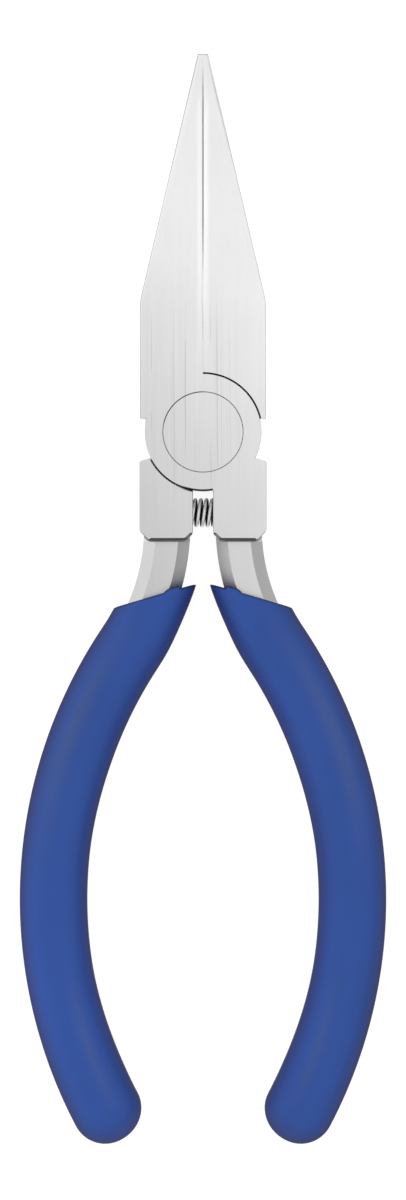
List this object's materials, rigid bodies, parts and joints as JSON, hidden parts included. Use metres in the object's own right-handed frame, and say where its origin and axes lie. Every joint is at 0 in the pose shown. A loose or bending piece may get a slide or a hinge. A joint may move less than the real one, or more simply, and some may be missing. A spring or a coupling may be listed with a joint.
{
  "type": "round nose pliers",
  "caption": "Slim spring-opened jewellery pliers with tapered jaws that end in round tips, a flush-riveted lap joint and bowed soft sleeves",
  "frame": {"origin": "on the pivot axis, at the back face of the rivet, which is the face the pliers lie on", "axes": "+Y from the pivot to the jaw tips, +Z along the pivot axis and up as the pliers lie flat, +X to the right seen from above with the jaws pointing away"},
  "size_m": [0.042, 0.1248, 0.0084],
  "materials": {
    "jaw_steel": "ground along the jaws, light satin",
    "rivet_steel": "ground flush, light satin",
    "spring_steel": "bright drawn wire",
    "grip_plastic": "soft satin blue"
  },
  "bodies": {
    "front_body": {"front_half": "jaw_steel", "pivot_rivet": "rivet_steel", "return_spring": "spring_steel", "right_grip": "grip_plastic"},
    "back_body": {"back_half": "jaw_steel", "left_grip": "grip_plastic"}
  },
  "joints": [
    {"name": "jaw_pivot", "type": "hinge", "parent": "front_body", "child": "back_body", "pos_m": [0, 0, 0.0042], "axis": [0, 0, -1], "range_deg": [0, 35], "stiffness_Nm_per_rad": 0.11, "springref_deg": 42.4, "deforming": ["return_spring"]}
  ]
}
